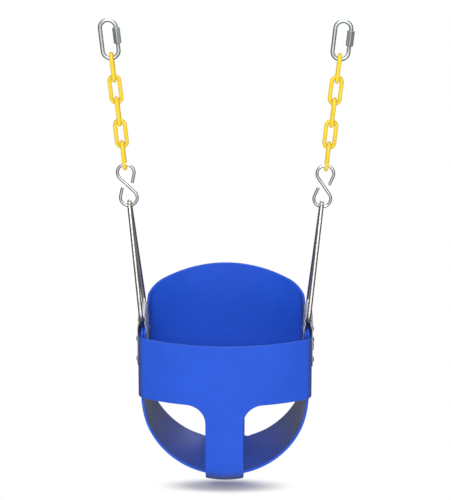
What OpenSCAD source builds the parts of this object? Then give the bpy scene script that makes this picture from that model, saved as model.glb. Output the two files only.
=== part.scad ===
// Toddler bucket swing: a moulded foam bucket hung from two coated chains.
// Millimetres. X to the right, Y to the back of the seat, Z up.
// X = 0 is the middle of the seat and Z = 0 is the underside of the crotch strap.

/* [Bucket] */
// Half the spacing of the two side clamps, middle of foam stack
side_x = 160; // [158:0.5:162]
// Thickness of the foam sheet
sheet = 4.8; // [4:0.2:4.8]
// Distance from the middle to the front of the belly band
front_depth = 113; // [108:1:118]
// Distance from the middle to the back of the bucket
back_depth = 118; // [112:1:124]
// Height of the lower edge of the belly band
band_low = 166; // [160:1:172]
// Height of the upper edge of the belly band
band_high = 288; // [284:1:290]
// Height of the top of the back rest
back_high = 384; // [376:1:392]
// Width of the crotch strap
strap_width = 73; // [66:1:74]
// Width of the strap joining the seat to the back rest
rear_strap_width = 72; // [66:1:78]
// Radius of the corners between a strap and its panel
strap_fillet = 36; // [30:1:38]

/* [Side clamps] */
// Height of the pivot rod above the underside of the strap
pivot_high = 320; // [318:0.5:322]
// Length of each clamp along the pivot rod
clamp_length = 92; // [80:1:92]
// Height of each clamp below the pivot rod
clamp_drop = 98; // [96:1:100]
// Thickness of the clamp steel
clamp_steel = 1.8; // [1.4:0.1:2]
// Diameter of the dome heads of the rivets
rivet_head = 13; // [11:0.5:14]

/* [Hangers and hooks] */
// Diameter of the hanger rod
hanger_rod = 8.5; // [8:0.1:8.5]
// Height of the hanger between rod centres
hanger_height = 223; // [215:1:230]
// Outward lean of hangers and chains in degrees
lean = 6.2; // [5:0.1:7]
// Diameter of the S-hook wire
hook_wire = 6; // [5.5:0.1:6.5]
// Radius of each S-hook eye at the wire centre
hook_eye = 16; // [15:0.5:16]

/* [Chain] */
// Diameter over the soft chain coating
link_wire = 8.2; // [7.8:0.1:8.2]
// Diameter of the steel inside the coating
link_core = 4.8; // [4:0.1:5]
// Length of one link over the coating
link_length = 60; // [58:0.5:62]
// Width of one link over the coating
link_width = 27; // [26.5:0.1:28]

/* [Quick links] */
// Diameter of the quick link wire
quick_wire = 8; // [7.6:0.1:8]
// Length of the quick link over the wire
quick_length = 82; // [80:1:84]
// Width of the quick link over the wire
quick_width = 38; // [36:1:38]
// Width across flats of the nut
nut_flats = 14; // [13:0.5:14.5]
// Length of the nut
nut_length = 30; // [28:1:30]

/* [Hidden] */
$fn = 48;
lap = 1;                         // overlap of joined shapes, overshoot of cuts
hair = 0.15;                     // offset that keeps touching foam faces apart
reach = 200;                     // extent of trimming shapes, beyond the bucket
trim_low = -20;                  // bottom of trimming shapes

// foam layers at each side, from outside in: belly band, sling, back rest
layer_gap = 0.2;
pitch = sheet + layer_gap;
band_half = side_x + pitch + sheet / 2;      // outer half widths
rest_half = side_x - pitch + sheet / 2;
stack = 3 * sheet + 2 * layer_gap;           // clamped thickness
stack_top = pivot_high - 20;
rest_low = pivot_high - 96;                  // bottom of the back rest's wings
clamp_in = stack / 2 + 0.1;                  // faces of a clamp leg from side_x
clamp_out = clamp_in + clamp_steel;
wing_half = 45;                              // half length of the foam in the clamps
wing_r = 12;                                 // its corner radius

// plan outline: flat sides, corner arcs and one large end arc
flat_y = 48;                     // half length of the flat sides
front_corner = 26;
back_corner = 32;
// radius of the end arc tangent to corner arcs that start rise below its top
function end_radius(rise, half, corner) =
    (rise * rise + (half - corner) * (half - corner) - corner * corner) / (2 * rise - 2 * corner);
front_r = end_radius(front_depth - flat_y, band_half, front_corner);
back_r = end_radius(back_depth - flat_y, rest_half, back_corner);

// sling: half round trough tipped up to the rear
tilt = 6;
sling_front = -62;
sling_rear = 86;
trough_r = side_x + sheet / 2;   // outer radius
trough_z = (sheet + 0.35 - sling_front * tan(tilt)) * cos(tilt) + trough_r;

// straps: outer bend radii, and centre height of the rear bend, tangent to the trough
strap_r = 50;
rear_r = 45;
rear_fillet = strap_fillet - 12;
rear_z = (trough_z - trough_r) / cos(tilt)
    + (back_depth - rear_r + rear_r * sin(tilt)) * tan(tilt) + rear_r * cos(tilt);

// hanger triangle in its own plane, y across and z up
hanger_half = 60;
base_bend = 10;                  // bend radii at the rod centre
apex_bend = 10;
peak_guess = 263;
// height where the straight sides would meet, closer with each round
function peak(rounds) = rounds == 0 ? peak_guess :
    let (z = peak(rounds - 1), sine = hanger_half / sqrt(hanger_half * hanger_half + z * z))
    hanger_height + apex_bend * (1 / sine - 1);
peak_z = peak(12);
base_angle = atan2(peak_z, hanger_half);     // angle of a side above the base

// stations along the leaning line above the pivot rod
play = 0.3;                      // play where one wire hangs in another
function nest(wire_a, wire_b) = wire_a / 2 + wire_b / 2 + play;
hook_half = 25;                  // hook middle to eye centre
hook_at = hanger_height - nest(hanger_rod, hook_wire) + hook_eye + hook_half;
hook_top = hook_at + hook_half + hook_eye;
link_count = 5;
link_r = (link_width - link_wire) / 2;
link_straight = link_length - link_width;
link_half = link_straight / 2 + link_r;      // link middle to end wire centre
link_step = 2 * link_half - nest(link_wire, link_wire);
first_link = hook_top - nest(hook_wire, link_wire) + link_half;
function link_at(n) = first_link + (n - 1) * link_step;
quick_r = (quick_width - quick_wire) / 2;
quick_straight = quick_length - quick_width;
quick_at = link_at(link_count) + link_half - nest(link_wire, quick_wire)
    + quick_straight / 2 + quick_r;
thread_d = quick_wire - 0.4;

// rivets
rivet_d = 6;
hole_d = 6.6;
// y, and z from the pivot rod
side_rivets = [[-32, -44], [32, -44], [0, -65], [-32, -84], [32, -84]];
strap_rivet_y = [-44, -14];
strap_rivet_turn = 5.6;          // turn of a strap rivet about the trough
washer_gap = 0.35;               // washer above the sling
washer_thick = 1.4;

foam = [0.12, 0.32, 0.86];
steel = [0.72, 0.70, 0.67];
bright = [0.80, 0.81, 0.82];
plate = [0.62, 0.62, 0.62];
yellow = [0.98, 0.85, 0.16];

// ---------- placing ----------
// side = 1 right, -1 left: place things at a distance up the leaning line
module station(side, along) {
    translate([side * (side_x + along * sin(lean)), 0, pivot_high + along * cos(lean)])
        rotate([0, side * lean, 0]) children();
}

// extrude a front view forwards from y = rear
module along_y(rear, length)
    translate([0, rear, 0]) rotate([90, 0, 0]) linear_extrude(length) children();

// extrude a side view (y, z) right across the bucket
module across_x()
    translate([-reach, 0, 0]) rotate([90, 0, 90]) linear_extrude(2 * reach) children();

// origin on the trough axis, which runs along y
module trough_frame() rotate([tilt, 0, 0]) translate([0, 0, trough_z]) children();

module at_side_rivets(x) for (p = side_rivets)
    translate([x, p[0], pivot_high + p[1]]) rotate([0, 90, 0]) children();

// z points along each rivet, 0 at the trough outer face
module at_strap_rivets() for (i = [-1, 1]) for (y = strap_rivet_y)
    trough_frame() rotate([0, i * strap_rivet_turn, 0]) translate([0, y, -trough_r]) children();

module hole() cylinder(h = 30, d = hole_d, center = true, $fn = 32);

module side_holes() for (m = [-1, 1]) at_side_rivets(m * side_x) hole();

module strap_holes() at_strap_rivets() hole();

// ---------- foam shapes ----------
// two corner arcs centred at height corner_y under one large arc that tops out
// at height top, filled down to foot
module arch(half, corner_y, top, corner, end_r, foot) {
    corner_x = half - corner;
    centre_y = top - end_r;
    angle = atan2(corner_x, corner_y - centre_y) - 0.4;   // just short of tangency
    union() {
        translate([-half, foot]) square([2 * half, corner_y - foot]);
        for (m = [0, 1]) mirror([m, 0]) translate([corner_x, corner_y]) circle(corner, $fn = 96);
        intersection() {
            translate([0, centre_y]) circle(end_r, $fn = 360);
            polygon([[0, centre_y],
                [2 * end_r * tan(angle), top + end_r],
                [-2 * end_r * tan(angle), top + end_r]]);
        }
        polygon([[-corner_x, corner_y - lap], [corner_x, corner_y - lap],
            [corner_x + corner / 2 * sin(angle), corner_y + corner / 2 * cos(angle)],
            [-corner_x - corner / 2 * sin(angle), corner_y + corner / 2 * cos(angle)]]);
    }
}

// wall up from band_low following half of the plan outline towards +Y
module plan_wall(half, depth, corner, end_r, top)
    translate([0, 0, band_low]) linear_extrude(top - band_low) difference() {
        arch(half, flat_y, depth, corner, end_r, -wing_half);
        arch(half - sheet, flat_y, depth - sheet, corner - sheet, end_r - sheet,
            -wing_half - lap);
    }

// front view outline of a strap flaring into a panel's lower edge
module tee(width, fillet) {
    fillet_z = band_low - fillet;
    union() {
        translate([-width / 2, trim_low]) square([width, band_low - trim_low + lap]);
        difference() {
            translate([-width / 2 - fillet, fillet_z]) square([width + 2 * fillet, fillet + lap]);
            for (m = [0, 1]) mirror([m, 0])
                translate([width / 2 + fillet, fillet_z + hair]) circle(fillet, $fn = 72);
        }
    }
}

// sheet revolved about the vertical axis of a large arc, wall above and quarter
// bend below, a hair inside the faces of the wall it grows from
module bend_sheet(end_r, bend_r, bend_z) {
    half_angle = 14;
    thick = sheet - 2 * hair;
    rotate([0, 0, 270 - half_angle]) rotate_extrude(angle = 2 * half_angle, $fn = 360) union() {
        translate([end_r - thick - hair, bend_z]) square([thick, band_low + lap - bend_z]);
        intersection() {
            translate([end_r - bend_r, bend_z]) difference() {
                circle(bend_r - hair, $fn = 96);
                circle(bend_r - hair - thick, $fn = 96);
            }
            translate([end_r - bend_r, bend_z]) polygon([[0, 0], [2 * bend_r, 0],
                [2 * bend_r, -2 * bend_r], [0, -2 * bend_r]]);
        }
    }
}

// half round below, straight walls of the given height above
module u_section(radius, height) union() {
    circle(radius, $fn = 240);
    translate([-radius, 0]) square([2 * radius, height]);
}

function ease(t) = t <= 0 ? 0 : t >= 1 ? 1 : t * t * (3 - 2 * t);

// side view points of a wing corner, a quarter turn clockwise from angle start
function wing_corner(y, z, start) = [for (i = [0:6])
    [y + wing_r * cos(start - 90 * i / 6), z + wing_r * sin(start - 90 * i / 6)]];

wing_y = wing_half - wing_r;     // wing corner centre
front_top_corner = wing_corner(-wing_y, stack_top - wing_r, 180);

// side view points of an edge that starts at y, z and eases up by rise
function rest_edge(y, z, run, rise, steps) =
    [for (i = [0:steps]) [y + run * i / steps, z + rise * ease(i / steps)]];

// side view point of a sling edge easing from the wing to its lower end
sling_steps = 12;
function sling_edge(wing, end, i) =
    [wing + (end - wing) * ease(i / sling_steps), 200 - 100 * i / sling_steps];

// front view of the back rest with its domed top
module rest_outline() {
    half = rest_half + 0.3;
    corner = 55;
    corner_z = back_high - 74;
    dome_r = end_radius(back_high - corner_z, half, corner);
    along_y(reach, 2 * reach) arch(half, corner_z, back_high, corner, dome_r, 0);
}

// ---------- foam ----------
module front_panel() color(foam) difference() {
    tail_rear = 18;
    tail_length = 82;
    tail_r = trough_r + hair;
    union() {
        // belly band
        intersection() {
            mirror([0, 1, 0]) plan_wall(band_half, front_depth, front_corner, front_r, band_high);
            // rounded free ends of the band
            translate([reach, 0, 0]) rotate([0, -90, 0]) linear_extrude(2 * reach) union() {
                translate([band_low - lap, -reach])
                    square([band_high - band_low + 2 * lap, reach + wing_y]);
                translate([band_low + wing_r, 0])
                    square([band_high - band_low - 2 * wing_r, wing_half]);
                for (z = [band_low + wing_r, band_high - wing_r])
                    translate([z, wing_y]) circle(wing_r, $fn = 48);
            }
        }
        // strap bending under the crotch
        intersection() {
            translate([0, front_r - front_depth, 0]) bend_sheet(front_r, strap_r, strap_r);
            along_y(lap, reach) tee(strap_width, strap_fillet);
        }
        // tail of the strap under the sling
        intersection() {
            trough_frame() along_y(tail_rear, tail_length) difference() {
                circle(tail_r + sheet, $fn = 240);
                circle(tail_r, $fn = 240);
            }
            translate([-strap_width / 2, -reach, trim_low]) cube([strap_width, 2 * reach, 60]);
        }
    }
    side_holes();
    strap_holes();
}

module seat_shell() color(foam) difference() {
    shoulder_y = 51;             // upper edge climbs from here
    shoulder_run = 20;
    rest_rear = 130;             // trim limit behind the back rest
    sling_half = 110;
    wall_rise = 180;
    rear_sink = 0.3;             // rear bend below tangency with the trough
    union() {
        // back rest
        intersection() {
            plan_wall(rest_half, back_depth, back_corner, back_r, back_high + 10);
            rest_outline();
            // low wings in the clamps, full height behind
            across_x() polygon(concat(
                rest_edge(shoulder_y, stack_top, shoulder_run, 70, 8),
                [[shoulder_y + shoulder_run, back_high + 20], [rest_rear, back_high + 20],
                    [rest_rear, band_low - lap]],
                rest_edge(91.3, band_low, -40, 58, 10),
                wing_corner(-wing_y, rest_low + wing_r, 270),
                front_top_corner));
        }
        // strap from back rest to seat
        intersection() {
            mirror([0, 1, 0]) translate([0, back_r - back_depth, 0])
                bend_sheet(back_r, rear_r, rear_z - rear_sink);
            along_y(reach, reach - lap) tee(rear_strap_width, rear_fillet);
        }
        // sling
        intersection() {
            trough_frame() along_y(sling_half, 2 * sling_half) difference() {
                u_section(trough_r, wall_rise);
                u_section(trough_r - sheet, wall_rise + lap);
            }
            across_x() polygon(concat(
                wing_corner(wing_y, stack_top - wing_r, 90),
                [for (i = [0:sling_steps]) sling_edge(wing_half, sling_rear, i)],
                [[sling_rear, trim_low], [sling_front, trim_low]],
                [for (i = [sling_steps:-1:0]) sling_edge(-wing_half, sling_front, i)],
                front_top_corner));
        }
    }
    side_holes();
    strap_holes();
}

// ---------- side hardware ----------
module bracket(side) color(plate) {
    loop_in = hanger_rod / 2 + 2;
    loop_z = hanger_rod / 2 + 0.1 - loop_in;     // loop rests on top of the pivot rod
    slot_half = 4.6;
    clip = 16;                                   // cube that clips a lower corner
    // x from side_x and z from the pivot rod: outer face down, inner face back up
    leg = [[4.9, loop_z - 5], [5.4, loop_z - 3.6], [7, loop_z - 2], [6.45, -9],
        [clamp_out, -19.2], [clamp_out, -clamp_drop],
        [clamp_in, -clamp_drop], [clamp_in, -19.7], [4.8, -9.2]];
    difference() {
        translate([side * side_x, clamp_length / 2, pivot_high]) rotate([90, 0, 0]) union() {
            // loop open at the bottom
            linear_extrude(clamp_length) difference() {
                translate([0, loop_z]) circle(loop_in + clamp_steel, $fn = 64);
                translate([0, loop_z]) circle(loop_in, $fn = 64);
                translate([-slot_half, loop_z - 12]) square([2 * slot_half, 8]);
            }
            // neck and leg on each side
            for (m = [0, 1]) mirror([m, 0, 0]) linear_extrude(clamp_length) polygon(leg);
        }
        side_holes();
        for (m = [-1, 1])
            translate([side * side_x, m * clamp_length / 2, pivot_high - clamp_drop])
                rotate([45, 0, 0]) cube([60, clip, clip], center = true);
    }
}

// shank standing on z = 0 with a dome beyond each end
module rivet(length) {
    head_r = rivet_head / 2;
    rise = 2.6;
    dome_r = (head_r * head_r + rise * rise) / (2 * rise);
    sink = 0.01;                 // lower dome let into the shank
    rotate_extrude($fn = 48) union() {
        square([rivet_d / 2, length]);
        intersection() {
            translate([0, length + rise - dome_r]) circle(dome_r, $fn = 96);
            translate([0, length]) square([head_r, rise + lap]);
        }
        intersection() {
            translate([0, dome_r - rise]) circle(dome_r, $fn = 96);
            translate([0, -rise - lap]) square([head_r, rise + lap + sink]);
        }
    }
}

module rivets(side) color(bright) {
    half = clamp_out + 0.05;     // heads just clear of the clamp
    at_side_rivets(side * side_x - half) rivet(2 * half);
}

module strap_rivets() color(bright) {
    below = sheet + 2 * hair;                            // just under the strap
    above = sheet + washer_gap + washer_thick + hair;    // just over the washer
    at_strap_rivets() translate([0, 0, -below]) rivet(below + above);
}

module strap_washers() color(plate)
    at_strap_rivets() translate([0, 0, sheet + washer_gap]) difference() {
        cylinder(h = washer_thick, d = 18, $fn = 64);
        translate([0, 0, -lap]) cylinder(h = 4, d = hole_d, $fn = 32);
    }

// ---------- bent rod ----------
rod_bite = 0.05;                 // straight rods run this far into the bends
rod_slim = 0.04;                 // and are this much thinner

// straight rod from one point to another
module rod(from, to, d) {
    v = to - from;
    length = norm(v);
    translate(from) rotate([0, acos(v[2] / length), atan2(v[1], v[0])])
        translate([0, 0, -rod_bite])
            cylinder(h = length + 2 * rod_bite, d = d - rod_slim, $fn = 40);
}

// bend of a rod in its XY plane about the origin
module bend(radius, d, start, sweep)
    rotate([0, 0, start]) rotate_extrude(angle = sweep, $fn = 72)
        translate([radius, 0]) circle(d = d, $fn = 40);

module hanger(side) color(steel) station(side, 0) {
    half_apex = 90 - base_angle;
    // corner to tangent point
    base_cut = base_bend * tan(90 - base_angle / 2);
    apex_cut = apex_bend * tan(90 - half_apex);
    base_y = hanger_half - base_cut;
    union() {
        rod([0, -base_y, 0], [0, base_y, 0], hanger_rod);
        for (m = [-1, 1]) rod(
            [0, m * (hanger_half - base_cut * cos(base_angle)), base_cut * sin(base_angle)],
            [0, m * apex_cut * sin(half_apex), peak_z - apex_cut * cos(half_apex)],
            hanger_rod);
        // lower corners
        for (m = [0, 1]) mirror([0, m, 0]) translate([0, base_y, base_bend])
            rotate([90, 0, 90]) bend(base_bend, hanger_rod, -90, 180 - base_angle);
        // apex
        translate([0, 0, hanger_height - apex_bend]) rotate([90, 0, 90])
            bend(apex_bend, hanger_rod, half_apex, 180 - 2 * half_apex);
    }
}

// both sides use the same S, its diagonal from upper left to lower right
module s_hook(side) color(bright) station(side, hook_at) rotate([90, 0, 0]) {
    slope = asin(hook_eye / hook_half);
    diagonal = sqrt(hook_half * hook_half - hook_eye * hook_eye);    // half its length
    leave = 18;                  // angle past the eye's middle where the free end runs straight
    tail = 17.5;                 // length of the straight free end
    union() {
        for (k = [0, 1]) rotate([0, 0, 180 * k]) translate([0, hook_half, 0]) {
            bend(hook_eye, hook_wire, -leave, 180 + slope + leave);
            rotate([0, 0, -leave]) translate([hook_eye, rod_bite, 0]) rotate([90, 0, 0])
                cylinder(h = tail + rod_bite, d = hook_wire - rod_slim, $fn = 40);
        }
        rotate([0, 0, 90 + slope]) rotate([0, 90, 0])
            cylinder(h = 2 * (diagonal + rod_bite), d = hook_wire - rod_slim, center = true,
                $fn = 40);
    }
}

// ---------- chain ----------
// stadium ring in the XY plane, long axis Y
module ring(d) union() {
    translate([0, link_straight / 2, 0]) bend(link_r, d, 0, 180);
    translate([0, -link_straight / 2, 0]) bend(link_r, d, 180, 180);
    for (m = [-1, 1]) translate([m * link_r, 0, 0]) rotate([90, 0, 0])
        cylinder(h = link_straight, d = d, center = true, $fn = 40);
}

// odd links stand across the leaning plane and even links in it
module link_frame(side, n)
    station(side, link_at(n)) rotate([0, 0, n % 2 == 1 ? 90 : 0]) rotate([90, 0, 0]) children();

// soft coating, hollow for the core
module link(side, n) color(yellow) link_frame(side, n) difference() {
    ring(link_wire);
    ring(link_core + 0.1);
}

module link_core(side, n) color(steel) link_frame(side, n) ring(link_core);

// ---------- quick links ----------
module quick_link(side) color(bright) station(side, quick_at) rotate([90, 0, 0]) {
    half = quick_straight / 2;
    // ends of the opening in the threaded leg, from the middle of the link
    mouth_low = 8;
    mouth_high = 18;
    union() {
        translate([0, half, 0]) bend(quick_r, quick_wire, 0, 180);
        translate([0, -half, 0]) bend(quick_r, quick_wire, 180, 180);
        translate([-quick_r, 0, 0]) rotate([90, 0, 0])
            cylinder(h = quick_straight, d = quick_wire, center = true, $fn = 40);
        for (span = [[-half, mouth_low], [mouth_high, half]])
            translate([quick_r, span[0], 0]) rotate([-90, 0, 0])
                cylinder(h = span[1] - span[0], d = thread_d, $fn = 40);
    }
}

module nut(side) color(bright) station(side, quick_at) rotate([90, 0, 0]) {
    middle = 6;                  // nut centre above the middle of the link
    end_r = nut_flats / 2;
    body_r = end_r + 1.2;
    turned = 1.6;                // length of each turned end
    translate([quick_r, middle - nut_length / 2, 0]) rotate([-90, 0, 0]) difference() {
        intersection() {
            rotate([0, 0, 30]) linear_extrude(nut_length)
                polygon([for (i = [0:5]) nut_flats / sqrt(3) * [cos(60 * i), sin(60 * i)]]);
            rotate_extrude($fn = 72) polygon([[0, 0], [end_r, 0], [body_r, turned],
                [body_r, nut_length - turned], [end_r, nut_length], [0, nut_length]]);
        }
        translate([0, 0, -lap]) cylinder(h = nut_length + 2 * lap, d = thread_d + 0.16, $fn = 40);
    }
}

// ---------- nodes ----------
module left_bracket() bracket(-1);
module right_bracket() bracket(1);
module left_rivets() rivets(-1);
module right_rivets() rivets(1);
module left_hanger() hanger(-1);
module right_hanger() hanger(1);
module left_s_hook() s_hook(-1);
module right_s_hook() s_hook(1);
module left_link_1() link(-1, 1);
module left_link_2() link(-1, 2);
module left_link_3() link(-1, 3);
module left_link_4() link(-1, 4);
module left_link_5() link(-1, 5);
module right_link_1() link(1, 1);
module right_link_2() link(1, 2);
module right_link_3() link(1, 3);
module right_link_4() link(1, 4);
module right_link_5() link(1, 5);
module left_link_1_core() link_core(-1, 1);
module left_link_2_core() link_core(-1, 2);
module left_link_3_core() link_core(-1, 3);
module left_link_4_core() link_core(-1, 4);
module left_link_5_core() link_core(-1, 5);
module right_link_1_core() link_core(1, 1);
module right_link_2_core() link_core(1, 2);
module right_link_3_core() link_core(1, 3);
module right_link_4_core() link_core(1, 4);
module right_link_5_core() link_core(1, 5);
module left_quick_link() quick_link(-1);
module right_quick_link() quick_link(1);
module left_nut() nut(-1);
module right_nut() nut(1);

front_panel();
seat_shell();
left_bracket();
right_bracket();
left_rivets();
right_rivets();
strap_rivets();
strap_washers();
left_hanger();
right_hanger();
left_s_hook();
right_s_hook();
left_link_1();
left_link_2();
left_link_3();
left_link_4();
left_link_5();
right_link_1();
right_link_2();
right_link_3();
right_link_4();
right_link_5();
left_link_1_core();
left_link_2_core();
left_link_3_core();
left_link_4_core();
left_link_5_core();
right_link_1_core();
right_link_2_core();
right_link_3_core();
right_link_4_core();
right_link_5_core();
left_quick_link();
right_quick_link();
left_nut();
right_nut();
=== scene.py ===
"""Bucket swing seat of blue foam sheet, hung from two yellow coated chains.

+Z is up, the front faces -Y and the right side is +X. Foam straps run under the seat. On each
side a steel clamp plate holds a triangular hanger rod, and an S-hook, five chain links and a
quick link follow it up a line that leans outwards. Sizes are millimetres; meshes, floor, lights
and camera are placed in metres.
"""
import math
import bpy
import numpy as np
from mathutils import Matrix, Vector


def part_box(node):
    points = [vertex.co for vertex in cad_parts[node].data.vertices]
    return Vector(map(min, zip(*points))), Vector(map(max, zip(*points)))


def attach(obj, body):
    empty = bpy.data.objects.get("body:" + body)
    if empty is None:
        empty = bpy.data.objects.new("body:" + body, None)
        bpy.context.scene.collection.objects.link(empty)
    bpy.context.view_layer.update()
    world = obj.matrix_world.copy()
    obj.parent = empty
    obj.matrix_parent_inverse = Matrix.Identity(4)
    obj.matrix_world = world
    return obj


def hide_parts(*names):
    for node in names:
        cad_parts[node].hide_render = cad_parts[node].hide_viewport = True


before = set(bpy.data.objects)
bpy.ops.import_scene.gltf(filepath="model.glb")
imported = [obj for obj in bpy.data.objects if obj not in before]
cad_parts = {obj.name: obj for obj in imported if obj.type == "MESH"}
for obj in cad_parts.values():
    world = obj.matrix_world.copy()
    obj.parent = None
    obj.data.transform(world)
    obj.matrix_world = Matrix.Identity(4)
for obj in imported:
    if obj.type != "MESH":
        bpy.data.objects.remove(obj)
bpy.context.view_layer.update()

MM = 0.001
QUARTER = math.pi / 2
SIDES = ((-1, "left"), (1, "right"))


def box_mm(node):
    low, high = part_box(node)
    return np.array(low) * 1000, np.array(high) * 1000


# ---------------------------------------------------------------- seat dimensions
band_box_low, band_box_high = box_mm("front_panel")
shell_box_high = box_mm("seat_shell")[1]
plate_box_low, plate_box_high = box_mm("right_bracket")

FOAM = 4.8                               # foam thickness
RIM = 1.6                                # rounding of the foam's cut edges
CORNER = 12.0                            # corner radius of the foam sheets
CLAMPED_HALF = 45.0                      # half length of foam in a side clamp, along y
LAP_GAP = 0.35                           # gap between lapped foam sheets
SIDE_X = (plate_box_low[0] + plate_box_high[0]) / 2  # middle of the clamped stack
FRONT_REACH = -band_box_low[1]
BACK_REACH = shell_box_high[1]
BACK_TOP = shell_box_high[2]
BAND_HALF = band_box_high[0]
BAND_LOW, BAND_HIGH = 166.0, band_box_high[2]
WING_LOW, WING_TOP = 224.0, 300.0        # back rest where it enters the clamps
FLAT_END = 48.0                          # |y| where the flat sides turn into the corners
TILT = math.radians(6.0)                 # sling floor rises to the back
TILT_TAN, TILT_COS, TILT_SIN = math.tan(TILT), math.cos(TILT), math.sin(TILT)

PLATE = 1.8                              # clamp plate thickness
PLATE_HEIGHT = 98.0                      # from the plate's lower edge to the pivot
PIVOT_Z = plate_box_low[2] + PLATE_HEIGHT
LEAN = math.radians(6.2)                 # outward lean of hangers and chains
HANGER_D = 8.5                           # rod diameter


# ---------------------------------------------------------------- mesh helpers
def build(name, points, faces, materials, body, node, normals=None, material_index=None):
    mesh = bpy.data.meshes.new(name)
    vertices = [tuple(p * MM) for p in np.asarray(points, float)]
    mesh.from_pydata(vertices, [], [tuple(int(i) for i in face) for face in faces])
    mesh.update()
    for material in materials:
        mesh.materials.append(material)
    mesh.polygons.foreach_set("use_smooth", [True] * len(mesh.polygons))
    if material_index is not None:
        mesh.polygons.foreach_set("material_index", material_index)
    if normals is not None:
        mesh.normals_split_custom_set_from_vertices([tuple(n) for n in normals])
    ob = bpy.data.objects.new(name, mesh)
    bpy.context.scene.collection.objects.link(ob)
    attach(ob, body)
    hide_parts(node)
    return ob


def sharpen(ob, degrees):
    ob.data.set_sharp_from_angle(angle=math.radians(degrees))


def unit(v):
    return v / np.maximum(np.linalg.norm(v, axis=-1, keepdims=True), 1e-12)


def sheet_mesh(points, quads, half, rim, steps):
    """Thicken a middle surface to 2*half, its quads counterclockwise seen from outside.

    The cut edge is rounded over and stands rim outside the surface's edge. Returns vertices,
    faces, normals and, for each face, 0 for sheet or 1 for cut edge.
    """
    # weld points that share a 0.005 mm cell
    points = np.asarray(points, float)
    index_of = {}
    welded = np.zeros(len(points), int)
    kept = []
    for i, cell in enumerate(map(tuple, np.round(points * 200).astype(int))):
        if cell not in index_of:
            index_of[cell] = len(kept)
            kept.append(i)
        welded[i] = index_of[cell]
    points = points[kept]
    quads = [tuple(welded[list(quad)]) for quad in quads]
    quads = [quad for quad in quads if len(set(quad)) >= 3]
    loops = [[q[i] for i in range(4) if q[i] != q[(i + 1) % 4]] for q in quads]

    normals = np.zeros_like(points)
    for q in quads:
        cross = np.cross(points[q[2]] - points[q[0]], points[q[3]] - points[q[1]])
        for i in set(q):
            normals[i] += cross
    normals = unit(normals)

    half_edges = set()
    faces, kinds = [], []
    count = len(points)
    for loop in loops:
        half_edges.update(zip(loop, loop[1:] + loop[:1]))
        faces += [tuple(loop), tuple(count + i for i in reversed(loop))]
        kinds += [0, 0]
    border = [(a, b) for a, b in half_edges if (b, a) not in half_edges]
    following = {a: b for a, b in border}
    previous = {b: a for a, b in border}

    # two quarter rounds, each at its offset from the middle surface
    turns = [(half - rim, QUARTER * k / steps) for k in range(1, steps + 1)]
    turns += [(rim - half, QUARTER * (1 + k / steps)) for k in range(steps)]
    rings = {}
    edge_points, edge_normals = [], []
    for v in following:
        ahead = unit(points[following[v]] - points[v])
        behind = unit(points[v] - points[previous[v]])
        outward = unit(np.cross(unit(ahead + behind), normals[v]))
        ring = [v]
        for offset, a in turns:
            ring.append(2 * count + len(edge_points))
            height = offset + rim * math.cos(a)
            edge_points.append(points[v] + rim * math.sin(a) * outward + height * normals[v])
            edge_normals.append(math.sin(a) * outward + math.cos(a) * normals[v])
        rings[v] = ring + [count + v]
    for a, b in border:
        for k in range(len(turns) + 1):
            faces.append((rings[b][k], rings[a][k], rings[a][k + 1], rings[b][k + 1]))
            kinds.append(1)
    vertices = np.vstack([points + half * normals, points - half * normals, edge_points])
    return vertices, faces, np.vstack([normals, -normals, edge_normals]), kinds


def build_sheet(name, surface, half, rim, steps, materials, node):
    vertices, faces, normals, kinds = sheet_mesh(*surface, half, rim, steps)
    build(name, vertices, faces, materials, "seat", node, normals, kinds)


def grid_quads(start, columns, rows, flip=False):
    """Quads of a block of points stored column after column from index start."""
    quads = []
    for j in range(columns - 1):
        for i in range(rows - 1):
            a = start + j * rows + i
            b = a + rows
            quad = (a, b, b + 1, a + 1)
            quads.append(quad[::-1] if flip else quad)
    return quads


def steps_to(start, end, count):
    """Equal steps from start to end, without start itself."""
    return [start + (end - start) * k / count for k in range(1, count + 1)]


def crowded(rows, amount):
    """Fractions 0 to 1 that crowd towards both ends."""
    even = [i / (rows - 1) for i in range(rows)]
    return [t - amount * math.sin(2 * math.pi * t) for t in even]


def mirrored(columns):
    return [(-s, z) for s, z in columns[::-1]]


def inset(line, distance, up):
    """Polyline (s, z) moved along its normal, upwards (up=1) or downwards (up=-1)."""
    p = np.asarray(line, float)
    tangent = np.zeros_like(p)
    tangent[1:-1] = unit(unit(p[2:] - p[1:-1]) + unit(p[1:-1] - p[:-2]))
    tangent[0], tangent[-1] = unit(p[1] - p[0]), unit(p[-1] - p[-2])
    return p + distance * up * np.stack([-tangent[:, 1], tangent[:, 0]], 1)


def ease(t):
    t = min(1.0, max(0.0, t))
    return t * t * (3 - 2 * t)


def wide_radius(rise, half_width, corner):
    """Radius of the wide arc that meets two corner arcs over a given rise."""
    return (rise * rise + (half_width - corner) ** 2 - corner * corner) / (2 * rise - 2 * corner)


def sagitta(radius, x):
    return radius - math.sqrt(radius * radius - x * x)


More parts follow.
